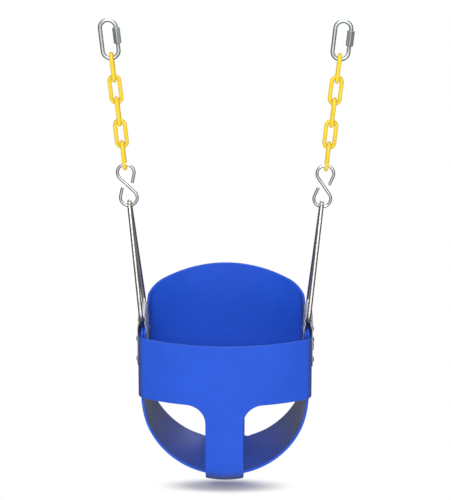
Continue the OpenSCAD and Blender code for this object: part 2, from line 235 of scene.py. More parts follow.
# ---------------------------------------------------------------- foam helpers
class WallLine:
    """Middle line of a wall seen from above: flat sides, corner arcs, one wide arc.

    facing -1 bulges to the front, +1 to the back. s runs from the middle to the right.
    """

    def __init__(self, half_width, reach, corner, facing):
        self.facing = facing
        outer = wide_radius(reach - FLAT_END, half_width, corner)
        self.radius, self.corner = outer - FOAM / 2, corner - FOAM / 2
        self.centre_y = reach - outer
        self.corner_x = half_width - corner
        self.angle = math.atan2(self.corner_x, FLAT_END - self.centre_y)
        self.wide_length = self.radius * self.angle
        self.corner_length = self.corner * (QUARTER - self.angle)
        self.flat_x = half_width - FOAM / 2

    def s_of_x(self, x):
        return self.radius * math.asin(x / self.radius)

    def s_of_y(self, y):
        """s on a flat side, y counted towards the bulge and at most FLAT_END."""
        return self.wide_length + self.corner_length + (FLAT_END - y)

    def at(self, s):
        mirror = 1 if s >= 0 else -1
        s = abs(s)
        if s <= self.wide_length:
            a = s / self.radius
            x = self.radius * math.sin(a)
            y = self.centre_y + self.radius * math.cos(a)
        elif s <= self.wide_length + self.corner_length:
            a = self.angle + (s - self.wide_length) / self.corner
            x = self.corner_x + self.corner * math.sin(a)
            y = FLAT_END + self.corner * math.cos(a)
        else:
            x, y = self.flat_x, FLAT_END - (s - self.wide_length - self.corner_length)
        return mirror * x, self.facing * y


ACROSS = [-1 + 2 * j / 16 for j in range(17)]  # places across a strap, edge to edge


def wall_points(line, feet, heads, rows):
    """Columns of points from feet to heads, both lists of (s, z) on a wall line."""
    points = []
    for (s_foot, z_foot), (s_head, z_head) in zip(feet, heads):
        for t in crowded(rows, 0.06):
            x, y = line.at(s_foot + (s_head - s_foot) * t)
            points.append((x, y, z_foot + (z_head - z_foot) * t))
    return points


def rounded_end(end, low, high, count):
    """Feet and heads of the first columns at s = -end, where both corners are round."""
    inner = CORNER - RIM
    feet, heads = [], []
    for k in range(count):
        a = QUARTER * k / 6
        s = -end + CORNER - inner * math.cos(a)
        feet.append((s, low + CORNER - inner * math.sin(a)))
        heads.append((s, high - CORNER + inner * math.sin(a)))
    return feet, heads


def blend_radius(start, end, t):
    """Section radius whose curvature eases from start to end."""
    return 1 / (1 / start + (1 / end - 1 / start) * ease(t))


def on_section(x, station):
    """Point at x of a strap section; station is (y, z, inward y, inward z, radius)."""
    y, z, inward_y, inward_z, radius = station
    dip = sagitta(radius, x)
    return x, y + inward_y * dip, z + inward_z * dip


# ---------------------------------------------------------------- belly band and crotch strap
def belly_band():
    """Band round the front, with a strap that turns back under the seat."""
    line = WallLine(BAND_HALF, FRONT_REACH, corner=26.0, facing=-1)
    strap_half, fillet = 36.5, 36.0
    root_half = strap_half + fillet
    end = line.s_of_y(-CLAMPED_HALF)
    feet, heads = rounded_end(end, BAND_LOW, BAND_HIGH, 7)
    low, high = BAND_LOW + RIM, BAND_HIGH - RIM
    side = steps_to(-end + CORNER, line.s_of_x(-root_half), 70)[:-1]
    middle = [line.s_of_x(root_half * u) for u in ACROSS]
    feet += [(s, low) for s in side]
    heads += [(s, high) for s in side]
    feet += [(s, low) for s in middle] + mirrored(feet)
    heads += [(s, high) for s in middle] + mirrored(heads)
    rows = 25
    points = wall_points(line, feet, heads, rows)
    quads = grid_quads(0, len(feet), rows)

    # strap: straight down, round the bend, back under the seat; q runs from the band's edge
    tuck_radius = 164.95                     # section radius under the seat
    bend, bend_z = 50.0 - FOAM / 2, 50.34
    wall_y = -(FRONT_REACH - FOAM / 2)
    bend_y = wall_y + bend
    sweep = QUARTER + TILT
    drop = BAND_LOW - bend_z

    def station(q):
        if q <= drop:
            return wall_y, BAND_LOW - q, 1.0, 0.0, line.radius
        a = (q - drop) / bend
        if a <= sweep:
            radius = blend_radius(line.radius, tuck_radius, a / sweep)
            return (bend_y - bend * math.cos(a), bend_z - bend * math.sin(a),
                    math.cos(a), math.sin(a), radius)
        d = q - drop - bend * sweep
        return (bend_y - bend * math.cos(sweep) + d * TILT_COS,
                bend_z - bend * math.sin(sweep) + d * TILT_SIN,
                -TILT_SIN, TILT_COS, tuck_radius)

    bend_end = drop + bend * sweep
    strap_end = bend_end + 75.4
    tip = 6.0                                # corner radius of the strap's end
    inner = tip - RIM
    half = strap_half - RIM
    fillet_z, fillet_radius = BAND_LOW - fillet, fillet + RIM
    strap = []                               # (q, half width)
    for k in range(11):
        a = QUARTER * (1 - k / 10)
        strap.append((BAND_LOW - (fillet_z + fillet_radius * math.sin(a)),
                      root_half - fillet_radius * math.cos(a)))
    strap += [(q, half) for q in steps_to(BAND_LOW - fillet_z, drop, 14)]
    strap += [(drop + q, half) for q in steps_to(0, bend * sweep, 24)]
    strap += [(q, half) for q in steps_to(bend_end, strap_end - tip, 11)]
    for k in range(1, 5):
        a = QUARTER * k / 4
        strap.append((strap_end - tip + inner * math.sin(a),
                      strap_half - tip + inner * math.cos(a)))
    quads += grid_quads(len(points), len(ACROSS), len(strap), flip=True)
    for u in ACROSS:
        points += [on_section(half_width * u, station(q)) for q, half_width in strap]
    return points, quads


# ---------------------------------------------------------------- sling, rear strap and back rest
SLING_FRONT, SLING_REAR = 62.0, 86.0     # reach of the sling floor from y = 0
# height of the trough's axis in the tilted frame, and of its floor at y = 0
TROUGH_Z = (FOAM + LAP_GAP + SLING_FRONT * TILT_TAN) * TILT_COS + SIDE_X + FOAM / 2
TROUGH_FLOOR = (TROUGH_Z - SIDE_X) / TILT_COS
BACK_HALF = SIDE_X - 5.0 + FOAM / 2
BACK_LINE = WallLine(BACK_HALF, BACK_REACH, corner=32.0, facing=1)

REAR_BEND = 45.0 - FOAM / 2
REAR_SWEEP = QUARTER - TILT
REAR_Y = BACK_REACH - FOAM / 2
REAR_CENTRE_Y = REAR_Y - REAR_BEND
REAR_START_Y = REAR_CENTRE_Y + REAR_BEND * TILT_SIN
REAR_CENTRE_Z = TROUGH_FLOOR + REAR_START_Y * TILT_TAN + REAR_BEND * TILT_COS
STRAP_HALF = 36.0
STRAP_FILLET = 10.0                      # where the strap leaves the sling
STRAP_JOINT = STRAP_HALF + STRAP_FILLET
BACK_FILLET = 24.0                       # where the strap meets the back rest
STRAP_HEAD = STRAP_HALF + BACK_FILLET


def floor_line(d):
    """Straight line of the sling floor, d from the start of the rear bend: (y, z)."""
    y = REAR_START_Y + d * TILT_COS
    return y, TROUGH_FLOOR + y * TILT_TAN


def rear_station(d):
    if d <= 0:
        return (*floor_line(d), -TILT_SIN, TILT_COS, SIDE_X)
    turn = d / REAR_BEND
    if turn <= REAR_SWEEP:
        a = TILT + turn
        return (REAR_CENTRE_Y + REAR_BEND * math.sin(a), REAR_CENTRE_Z - REAR_BEND * math.cos(a),
                -math.sin(a), math.cos(a),
                blend_radius(SIDE_X, BACK_LINE.radius, turn / REAR_SWEEP))
    return REAR_Y, REAR_CENTRE_Z + d - REAR_BEND * REAR_SWEEP, -1.0, 0.0, BACK_LINE.radius


def rear_distance(x, y):
    """d of the trough point at x, y; it lies behind the middle line by its own depth."""
    return (y + sagitta(SIDE_X, x) * TILT_SIN - REAR_START_Y) / TILT_COS


def sling_edge(sign, reach, base, slope):
    """y where the line z = base + slope * y meets the front (-1) or rear (+1) edge."""

    def outline(z):
        return sign * (CLAMPED_HALF + (reach - CLAMPED_HALF) * ease((200 - z) / 100))

    y = outline(base)
    for _ in range(40):
        y = outline(base + slope * y)
    z = base + slope * y
    flare = outline(z + 0.5) - outline(z - 0.5)
    return y - sign * RIM * math.sqrt(1 + flare * flare)


def sling():
    """Trough between the clamps. Returns points, quads and the rear edge under the strap."""
    rows = 27
    wall_z = WING_TOP - CORNER

    def column(x, base, slope):
        return (x, base, slope, sling_edge(-1, SLING_FRONT, base, slope),
                sling_edge(1, SLING_REAR, base, slope))

    left = []                                # (x, base, slope, front y, rear y)
    for k in range(5):
        a = QUARTER * (1 - k / 4)
        half = CLAMPED_HALF - CORNER + (CORNER - RIM) * math.cos(a)
        left.append((-SIDE_X, wall_z + (CORNER - RIM) * math.sin(a), 0.0, -half, half))
    for k in range(1, 22):
        t = 1 - k / 22
        base = (1 - t) * (TROUGH_Z / TILT_COS) + t * wall_z
        left.append(column(-SIDE_X, base, (1 - t) * TILT_TAN))
    joint_angle = math.asin(STRAP_JOINT / SIDE_X)
    for k in range(44):
        a = -QUARTER + (QUARTER - joint_angle) * k / 44
        base = (TROUGH_Z - SIDE_X * math.cos(a)) / TILT_COS
        left.append(column(SIDE_X * math.sin(a), base, TILT_TAN))
    middle = []
    for u in ACROSS:
        x = STRAP_JOINT * u
        base = (TROUGH_Z - math.sqrt(SIDE_X * SIDE_X - x * x)) / TILT_COS
        middle.append(column(x, base, TILT_TAN))
    columns = left + middle + [(-c[0], *c[1:]) for c in left[::-1]]

    points = []
    fade_width = 34                          # beside the strap the floor still follows its bend
    for x, base, slope, front, rear in columns:
        for t in crowded(rows, 0.05):
            y = front + (rear - front) * t
            d = rear_distance(x, y)
            if abs(x) <= STRAP_JOINT:
                points.append(on_section(x, rear_station(d)))
                continue
            z = base + slope * y
            if abs(x) < STRAP_JOINT + fade_width and d > 0:
                pull = 1 - ease((abs(x) - STRAP_JOINT) / fade_width)
                bent_y, bent_z = rear_station(d)[:2]
                flat_y, flat_z = floor_line(d)
                y, z = y + pull * (bent_y - flat_y), z + pull * (bent_z - flat_z)
            points.append((x, y, z))
    strap_edge = [points[(len(left) + j) * rows + rows - 1] for j in range(len(ACROSS))]
    return points, grid_quads(0, len(columns), rows, flip=True), strap_edge


def rear_strap(start, sling_edge_points):
    """Strap from the sling's rear edge up to the back rest's lower edge."""
    half = STRAP_HALF - RIM
    low_radius, high_radius = STRAP_FILLET + RIM, BACK_FILLET + RIM
    fillet_y = SLING_REAR + STRAP_FILLET
    fillet_z = BAND_LOW - BACK_FILLET
    upright = REAR_BEND * REAR_SWEEP         # d where the strap turns upright
    upper = [(d, half) for d in steps_to(rear_distance(0, fillet_y), upright, 16)]
    upper += [(d, half) for d in steps_to(upright, upright + (fillet_z - REAR_CENTRE_Z), 8)]
    for k in range(1, 11):
        a = QUARTER * k / 10
        upper.append((upright + (fillet_z + high_radius * math.sin(a) - REAR_CENTRE_Z),
                      STRAP_HEAD - high_radius * math.cos(a)))
    points = []
    for u, edge_point in zip(ACROSS, sling_edge_points):
        points.append(edge_point)
        for k in range(1, 7):
            share = 1 - k / 6                # of the sling's curved edge
            a = QUARTER * share
            x = (STRAP_JOINT - low_radius * math.cos(a)) * u
            y = fillet_y - low_radius * math.sin(a)
            d = rear_distance(x, y) * share + rear_distance(0, y) * (1 - share)
            points.append(on_section(x, rear_station(d)))
        points += [on_section(half_width * u, rear_station(d)) for d, half_width in upper]
    return points, grid_quads(start, len(ACROSS), 7 + len(upper), flip=True)


def back_rest(start):
    """Arched back rest, with wings that run forwards into the clamps."""
    half_width = BACK_HALF + 0.3
    arch_rise, shoulder = 74.0, 55.0
    shoulder_x, shoulder_z = half_width - shoulder, BACK_TOP - arch_rise
    crown = wide_radius(arch_rise, half_width, shoulder)
    crown_end = shoulder_x + shoulder * math.sin(math.atan2(shoulder_x, crown - arch_rise))

    def arch(x):
        x = abs(x)
        if x < crown_end:
            return BACK_TOP - crown + math.sqrt(crown * crown - x * x)
        return shoulder_z + math.sqrt(max(0.0, shoulder * shoulder - (x - shoulder_x) ** 2))

    def low(y):
        if y <= -(CLAMPED_HALF - CORNER):
            return WING_LOW
        return BAND_LOW + (WING_LOW - BAND_LOW) * ease((91.3 - y) / 40)

    def high(x, y):
        """Wing top that sweeps up behind y = 51 and blends into the arch."""
        if y <= 40:
            return WING_TOP
        wing = WING_TOP + 70 * ease((y - 51) / 20) + (500 if y > 71 else 0)
        blend = 5.0
        near = max(0.0, blend - abs(wing - arch(x)))
        return min(wing, arch(x)) - near ** 2 / (4 * blend)

    end = BACK_LINE.s_of_y(-CLAMPED_HALF)
    s_start = -end + CORNER
    wing_steps = 84
    lower, upper = [], []
    for s in [s_start] + steps_to(s_start, BACK_LINE.s_of_x(-STRAP_HEAD), wing_steps):
        x, y = BACK_LINE.at(s)
        lower.append((s, low(y)))
        upper.append((s, high(x, y)))
    middle = [BACK_LINE.s_of_x(STRAP_HEAD * u) for u in ACROSS]
    for s in middle[1:]:
        lower.append((s, BAND_LOW))
        upper.append((s, high(*BACK_LINE.at(s))))
    lower = inset(lower + mirrored(lower[:wing_steps]), RIM, 1)
    upper = inset(upper + mirrored(upper[:wing_steps]), RIM, -1)
    for k, s in enumerate(middle):
        lower[wing_steps + k] = (s, BAND_LOW + RIM)
    end_feet, end_heads = rounded_end(end, WING_LOW, WING_TOP, 6)
    feet = [*end_feet, *lower, *mirrored(end_feet)]
    heads = [*end_heads, *upper, *mirrored(end_heads)]
    rows = 31
    return (wall_points(BACK_LINE, feet, heads, rows),
            grid_quads(start, len(feet), rows, flip=True))


def bucket_shell():
    points, quads, strap_edge = sling()
    strap_points, strap_quads = rear_strap(len(points), strap_edge)
    points += strap_points
    rest_points, rest_quads = back_rest(len(points))
    return points + rest_points, quads + strap_quads + rest_quads


# ---------------------------------------------------------------- metal helpers
def station(side, distance):
    """Frame on the leaning line, at a distance up from the hanger's pivot."""
    place_at = (side * (SIDE_X + distance * math.sin(LEAN)), 0,
                PIVOT_Z + distance * math.cos(LEAN))
    return np.array(Matrix.Translation(place_at) @ Matrix.Rotation(side * LEAN, 4, "Y"))


def place(matrix, points):
    return np.asarray(points, float) @ matrix[:3, :3].T + matrix[:3, 3]


def arc(cx, cy, radius, start, end, count):
    """Arc points, angles in degrees."""
    angles = [math.radians(start + (end - start) * k / count) for k in range(count + 1)]
    return [(cx + radius * math.cos(a), cy + radius * math.sin(a)) for a in angles]


def dense(path, step, closed):
    """Path resampled so that no step is longer than step."""
    result = []
    count = len(path)
    for i in range(count if closed else count - 1):
        a, b = np.array(path[i]), np.array(path[(i + 1) % count])
        distance = np.linalg.norm(b - a)
        if distance < 1e-6:
            continue
        pieces = max(1, int(math.ceil(distance / step)))
        result += [a + (b - a) * k / pieces for k in range(pieces)]
    if not closed:
        result.append(np.array(path[-1]))
    return np.array(result)


def tube(path, matrix, axis, radius, closed=False, sides=28):
    """Tube along a flat path drawn in the matrix's given axis (0 x, 1 y) and its z.

    radius(length, total) gives the radius along it.
    """
    across, up = matrix[:3, axis], matrix[:3, 2]
    normal_axis = np.cross(across, up)
    p = np.asarray(path, float)
    count = len(p)
    if closed:
        tangent = np.roll(p, -1, 0) - np.roll(p, 1, 0)
    else:
        tangent = np.zeros_like(p)
        tangent[1:-1] = p[2:] - p[:-2]
        tangent[0], tangent[-1] = p[1] - p[0], p[-1] - p[-2]
    tangent = unit(tangent)
    lengths = np.concatenate([[0], np.cumsum(np.linalg.norm(np.diff(p, axis=0), axis=1))])
    points, faces = [], []
    for i in range(count):
        r = radius(lengths[i], lengths[-1])
        centre = p[i, 0] * across + p[i, 1] * up
        normal = -tangent[i, 1] * across + tangent[i, 0] * up
        for k in range(sides):
            a = 2 * math.pi * k / sides
            points.append(centre + r * (math.cos(a) * normal + math.sin(a) * normal_axis))
    for i in range(count if closed else count - 1):
        j = (i + 1) % count
        for k in range(sides):
            m = (k + 1) % sides
            faces.append((i * sides + k, i * sides + m, j * sides + m, j * sides + k))
    if not closed:
        faces.append(tuple(range(sides))[::-1])
        faces.append(tuple((count - 1) * sides + k for k in range(sides)))
    return np.array(points) + matrix[:3, 3], faces


def round_polygon(corners, radius, steps=14):
    result = []
    for i, corner in enumerate(corners):
        corner = np.array(corner, float)
        before = unit(np.array(corners[i - 1], float) - corner)
        after = unit(np.array(corners[(i + 1) % len(corners)], float) - corner)
        half = math.acos(float(np.clip(before @ after, -1, 1))) / 2
        setback = radius / math.tan(half)
        centre = corner + unit(before + after) * (radius / math.sin(half))
        start, end = corner + before * setback - centre, corner + after * setback - centre
        a0, a1 = math.atan2(start[1], start[0]), math.atan2(end[1], end[0])
        turn = (a1 - a0 + math.pi) % (2 * math.pi) - math.pi
        for k in range(steps + 1):
            a = a0 + turn * k / steps
            result.append(centre + radius * np.array([math.cos(a), math.sin(a)]))
    return result


def lathe(profile, matrix, segments=40):
    """Turned solid; profile is (radius, height) from the bottom axis to the top axis."""
    points, faces = [], []
    for radius, height in profile:
        for k in range(segments):
            a = 2 * math.pi * k / segments
            points.append((radius * math.cos(a), radius * math.sin(a), height))
    last = (len(profile) - 1) * segments
    for low in range(0, last, segments):
        high = low + segments
        for k in range(segments):
            m = (k + 1) % segments
            faces.append((low + k, low + m, high + m, high + k))
    faces.append(tuple(range(segments))[::-1])
    faces.append(tuple(last + k for k in range(segments)))
    return place(matrix, points), faces


def build_turned(name, parts, material, node):
    """One seat object from several turned solids."""
    points, faces, offset = [], [], 0
    for part_points, part_faces in parts:
        points.append(part_points)
        faces += [tuple(i + offset for i in face) for face in part_faces]
        offset += len(part_points)
    sharpen(build(name, np.vstack(points), faces, [material], "seat", node), 40)


# ---------------------------------------------------------------- materials
class Nodes:
    """Short calls for a node tree. Input keywords are socket names, _ for a space."""

    def __init__(self, tree, coordinate):
        self.tree = tree
        self.position = self.node("TexCoord").outputs[coordinate]

    def feed(self, socket, value):
        """Link a socket, or set its value; colours get alpha 1."""
        if hasattr(value, "is_linked"):
            self.tree.links.new(value, socket)
        elif socket.type == "RGBA" and len(value) == 3:
            socket.default_value = (*value, 1)
        else:
            socket.default_value = value

    def feed_named(self, node, inputs):
        for name, value in inputs.items():
            self.feed(node.inputs[name.replace("_", " ")], value)

    def feed_all(self, node, values):
        for socket, value in zip(node.inputs, values):
            self.feed(socket, value)

    def node(self, kind, **inputs):
        node = self.tree.nodes.new("ShaderNode" + kind)
        self.feed_named(node, inputs)
        return node

    def mapping(self, scale, rotation=(0, 0, 0), location=(0, 0, 0)):
        return self.node("Mapping", Scale=scale, Rotation=rotation, Location=location,
                         Vector=self.position).outputs["Vector"]

    def noise(self, scale, detail=3, roughness=0.5, distortion=0.0, vector=None):
        return self.node("TexNoise", Scale=scale, Detail=detail, Roughness=roughness,
                         Distortion=distortion, Vector=vector or self.position).outputs["Fac"]

    def voronoi(self, scale, feature="F1"):
        node = self.node("TexVoronoi", Scale=scale, Vector=self.position)
        node.feature = feature
        return node.outputs["Distance"]

    def ramp(self, fac, *stops):
        """Grey ramp through stops of (position, value)."""
        node = self.node("ValToRGB", Fac=fac)
        elements = node.color_ramp.elements
        while len(elements) < len(stops):
            elements.new(0.5)
        for element, (position, value) in zip(elements, stops):
            element.position = position
            element.color = (value, value, value, 1)
        return node.outputs["Color"]

    def fade(self, fac, start, end, strength=None):
        """0 at start to 1 at end, times strength if given."""
        ramp = self.ramp(fac, (start, 0.0), (end, 1.0))
        return ramp if strength is None else self.math("MULTIPLY", ramp, strength)

    def mix(self, fac, a, b, blend="MIX"):
        node = self.node("Mix")
        node.data_type = "RGBA"
        node.blend_type = blend
        for i, value in ((0, fac), (6, a), (7, b)):
            self.feed(node.inputs[i], value)
        return node.outputs[2]

    def mix_shader(self, fac, a, b):
        node = self.node("MixShader")
        self.feed_all(node, (fac, a, b))
        return node.outputs[0]

    def math(self, operation, *values):
        node = self.node("Math")
        node.operation = operation
        self.feed_all(node, values)
        return node.outputs[0]

    def scaled(self, fac, gain, offset):
        return self.math("ADD", self.math("MULTIPLY", fac, gain), offset)

    def add_scaled(self, base, fac, gain):
        return self.math("ADD", base, self.math("MULTIPLY", fac, gain))

    def bump(self, height, strength, distance, **normal):
        return self.node("Bump", Strength=strength, Distance=distance, Height=height,
                         **normal).outputs["Normal"]


class Material(Nodes):
    def __init__(self, name):
        self.material = bpy.data.materials.new(name)
        self.material.use_nodes = True
        super().__init__(self.material.node_tree, "Object")
        self.shader = self.tree.nodes["Principled BSDF"]

    def surface(self, **inputs):
        self.feed_named(self.shader, inputs)
        return self.material


def shade(colour, gain, lift=0.0):
    return tuple(min(1, c * gain + lift) for c in colour)


def foam_material(name, base, painted_grazing_tone, roughness, cell_bump, grain_bump):
    """Foam with soft tone changes, faint scuffs and a painted grey shade and sheen at grazing
    angles.
    """
    m = Material(name)
    tone = m.noise(scale=9, detail=3, roughness=0.55)
    fine = m.noise(scale=420, detail=4, roughness=0.6)
    cloud = m.noise(scale=34, detail=4, roughness=0.6)
    colour = m.mix(m.fade(tone, start=0.35, end=0.68),
                   shade(base, gain=0.95), shade(base, gain=1.035, lift=0.001))
    colour = m.mix(m.fade(cloud, start=0.45, end=0.75, strength=0.16),
                   colour, shade(base, gain=1.2, lift=0.01))
    colour = m.mix(m.fade(fine, start=0.3, end=0.7, strength=0.07),
                   colour, shade(base, gain=0.75))
    # long, thin, pale scuffs
    stretched = m.mapping(scale=(1.0, 1.0, 9.0), rotation=(0.3, 0.2, 0.5))
    streaks = m.noise(scale=30, detail=2, distortion=0.6, vector=stretched)
    scuff_line = m.ramp(streaks, (0.485, 0.0), (0.5, 1.0), (0.515, 0.0))
    scuff_strength, scuff_colour = 0.05, (0.25, 0.35, 0.75)
    colour = m.mix(m.math("MULTIPLY", scuff_line, scuff_strength), colour, scuff_colour)
    # painted grazing shade and sheen: a darker grey-blue mixed into the base colour where the
    # surface turns away from the view
    facing = m.node("LayerWeight", Blend=0.5).outputs["Facing"]
    painted_grazing_colour = (0.034, 0.041, 0.092)
    colour = m.mix(m.fade(facing, start=0.27, end=0.78, strength=painted_grazing_tone), colour, painted_grazing_colour)
    rough = m.scaled(cloud, gain=0.16, offset=roughness)
    swell = m.bump(m.noise(scale=14, detail=2), strength=0.18, distance=0.0006)
    cells = m.bump(m.voronoi(scale=620), strength=cell_bump, distance=0.00018, Normal=swell)
    return m.surface(
        Base_Color=colour,
        Roughness=m.add_scaled(rough, fine, gain=0.07),
        Specular_IOR_Level=0.30,
        Sheen_Weight=0.03,
        Sheen_Roughness=0.45,
        Sheen_Tint=(0.75, 0.82, 1.0, 1),
        Normal=m.bump(fine, strength=grain_bump, distance=0.00025, Normal=cells))


def vinyl_material(name, base):
    """Dipped coating: slightly uneven, faintly translucent and glossy."""
    m = Material(name)
    tone = m.noise(scale=60)
    fine = m.noise(scale=700, roughness=0.6)
    dark_gain = (0.93, 0.88, 0.75)           # per channel
    dark = tuple(c * gain for c, gain in zip(base, dark_gain))
    colour = m.mix(m.fade(tone, start=0.3, end=0.7), dark, base)
    speck = m.fade(m.noise(scale=260, detail=2), start=0.62, end=0.72, strength=0.10)
    speck_colour = (0.58, 0.38, 0.03)
    swell = m.bump(m.noise(scale=120, detail=2), strength=0.3, distance=0.0005)
    return m.surface(
        Base_Color=m.mix(speck, colour, speck_colour),
        Roughness=m.scaled(tone, gain=0.2, offset=0.24),
        Specular_IOR_Level=0.5,
        Subsurface_Weight=0.06,
        Subsurface_Radius=(0.004, 0.003, 0.001),
        Coat_Weight=0.12,
        Coat_Roughness=0.2,
        Normal=m.bump(fine, strength=0.1, distance=0.0002, Normal=swell))


def steel_material(name, base, rough, streak=(1, 1, 14), grain=0.12, mottle=0.0):
    """Metal with fine lines; streak scales their noise per axis, mottle adds dull patches."""
    m = Material(name)
    broad = m.noise(scale=55, roughness=0.55)
    lines = m.noise(scale=260, roughness=0.6, vector=m.mapping(scale=streak))
    fine = m.noise(scale=1500, detail=2)
    colour = m.mix(m.fade(broad, start=0.32, end=0.68), shade(base, gain=0.80), base)
    colour = m.mix(m.fade(lines, start=0.4, end=0.62, strength=0.30),
                   colour, shade(base, gain=0.7))
    roughness = m.scaled(broad, gain=0.10, offset=rough)
    if mottle:
        cells = m.voronoi(scale=260, feature="SMOOTH_F1")
        broken = m.add_scaled(cells, m.noise(scale=190, roughness=0.6), gain=0.6)
        patch = m.fade(broken, start=0.35, end=0.85)
        colour = m.mix(m.math("MULTIPLY", patch, mottle), colour, shade(base, gain=0.52))
        roughness = m.add_scaled(roughness, patch, gain=0.16)
    line_bump = m.bump(lines, strength=grain, distance=0.0002)
    return m.surface(
        Base_Color=colour,
        Metallic=1.0,
        Roughness=m.add_scaled(roughness, lines, gain=0.08),
        Normal=m.bump(fine, strength=grain * 0.6, distance=0.0001, Normal=line_bump))


# each foam gets its own strength of painted grazing shade and sheen
foam_face = foam_material("blue_foam_face", (0.0075, 0.076, 0.575), painted_grazing_tone=0.96,
                          roughness=0.36, cell_bump=0.16, grain_bump=0.14)
foam_edge = foam_material("blue_foam_cut_edge", (0.012, 0.084, 0.58), painted_grazing_tone=0.40,
                          roughness=0.46, cell_bump=0.35, grain_bump=0.3)
yellow = vinyl_material("yellow_coating_dipped", (0.80, 0.585, 0.026))
core_steel = steel_material("core_steel_plain", (0.46, 0.45, 0.44), rough=0.38)
hanger_steel = steel_material("hanger_steel_drawn", (0.60, 0.57, 0.53), rough=0.22,
                              streak=(14, 14, 1), grain=0.10)
hook_steel = steel_material("hook_steel_bright", (0.84, 0.84, 0.85), rough=0.13,
                            streak=(4, 4, 4), grain=0.06)
clamp_steel = steel_material("clamp_steel_rolled", (0.68, 0.68, 0.69), rough=0.36,
                             streak=(1, 12, 1), grain=0.16, mottle=0.25)
clamp_edge = steel_material("clamp_steel_sheared_edge", (0.80, 0.80, 0.81), rough=0.22,
                            streak=(14, 1, 1), grain=0.2)
rivet_steel = steel_material("rivet_steel_domed", (0.74, 0.74, 0.75), rough=0.20,
                             streak=(3, 3, 3), grain=0.10, mottle=0.12)
zinc = steel_material("zinc_plate_bright", (0.70, 0.75, 0.76), rough=0.22,
                      streak=(3, 3, 3), grain=0.10, mottle=0.30)
nut_zinc = steel_material("zinc_plate_nut", (0.74, 0.79, 0.80), rough=0.27,
                          streak=(2, 2, 10), grain=0.16, mottle=0.65)

# ---------------------------------------------------------------- foam pieces
for name, surface, node in (("belly_band_and_strap", belly_band(), "front_panel"),
                            ("bucket_shell", bucket_shell(), "seat_shell")):
    build_sheet(name, surface, FOAM / 2, RIM, 4, [foam_face, foam_edge], node)

# ---------------------------------------------------------------- side clamps
PLATE_RIM = 0.45
PLATE_HALF = 46.0                        # half length along y
PLATE_CHAMFER = 11.3                     # cut off the lower corners


def clamp_section():
    """Section (x, z) about the pivot: leg and neck, loop round the rod, neck and leg."""
    loop_z, loop_radius, loop_start = -1.9, HANGER_D / 2 + 2.0 + PLATE / 2, -42.0
    loop = [np.array(p) for p in arc(0, loop_z, loop_radius, loop_start, 180 - loop_start, 43)]
    leg = [np.array(p) for p in ((8.4, -PLATE_HEIGHT), (8.4, -19.4), (5.63, -9.2))] + [loop[0]]
    right = [leg[0]]
    for i, setback in ((1, 2.2), (2, 0.8)):  # rounded bends of leg and neck
        corner = leg[i]
        a = corner + unit(leg[i - 1] - corner) * setback
        b = corner + unit(leg[i + 1] - corner) * setback
        for t in np.linspace(0, 1, 6):
            right.append((1 - t) ** 2 * a + 2 * t * (1 - t) * corner + t * t * b)
    path = right + loop + [np.array((-x, z)) for x, z in right[::-1]]
    spaced = [path[0]]
    for p in path[1:]:
        if np.linalg.norm(p - spaced[-1]) > 0.05:
            spaced.append(p)
    return dense(spaced, 6.0, False)


def clamp_plate(side):
    section = clamp_section()
    section[0][1] += PLATE_RIM
    section[-1][1] += PLATE_RIM
    places = np.linspace(-1, 1, 25)
    chamfer = PLATE_CHAMFER + PLATE_RIM * 0.4
    points = []
    for x, z in section:
        cut = max(0.0, chamfer - max(z + PLATE_HEIGHT, PLATE_RIM))
        half = PLATE_HALF - PLATE_RIM - cut
        points += [(side * SIDE_X + x, half * y, PIVOT_Z + z) for y in places]
    return points, grid_quads(0, len(section), len(places), flip=True)


for side, side_name in SIDES:
    build_sheet(side_name + "_clamp_plate", clamp_plate(side), PLATE / 2, PLATE_RIM, 3,
                [clamp_steel, clamp_edge], side_name + "_bracket")

# ---------------------------------------------------------------- rivets and washers
RIVET_HEAD, RIVET_RISE, RIVET_SHANK = 6.5, 2.6, 3.0  # head radius and rise, shank radius
CLAMP_RIVETS = [(-32, -44), (32, -44), (0, -65), (-32, -84), (32, -84)]  # y, z from the pivot
WASHER = [(3.3, 0.05), (3.4, 0.0), (8.8, 0.0), (9.0, 0.2),  # radius, height
          (9.0, 1.15), (8.75, 1.4), (3.4, 1.4), (3.3, 1.35)]


def rivet_profile(length):
    """Domed heads on both ends of a shank, length apart."""
    sphere = (RIVET_HEAD * RIVET_HEAD + RIVET_RISE * RIVET_RISE) / (2 * RIVET_RISE)
    widest = math.asin(RIVET_HEAD / sphere)
    head = []
    for k in range(9):
        a = widest * k / 8
        narrowing = 1 if k < 8 else 0.985
        head.append((max(0.02, sphere * math.sin(a)) * narrowing,
                     sphere * math.cos(a) - (sphere - RIVET_RISE)))
    head += [(RIVET_HEAD, 0.12), (RIVET_HEAD - 0.15, 0.0), (RIVET_SHANK, 0.0)]
    return [(r, -h) for r, h in head] + [(r, length + h) for r, h in head[::-1]]


along_x = np.array(Matrix.Rotation(QUARTER, 4, "Y"))
for side, side_name in SIDES:
    low, high = box_mm(side_name + "_rivets")
    profile = rivet_profile((high[0] - low[0]) - 2 * RIVET_RISE)
    parts = []
    for k, (y, dz) in enumerate(CLAMP_RIVETS):
        at = np.array(Matrix.Translation((low[0] + RIVET_RISE, y, PIVOT_Z + dz)))
        parts.append(lathe(profile, at @ along_x @ np.array(Matrix.Rotation(0.7 * k, 4, "Z"))))
    build_turned(side_name + "_clamp_rivets", parts, rivet_steel,
                 side_name + "_rivets")

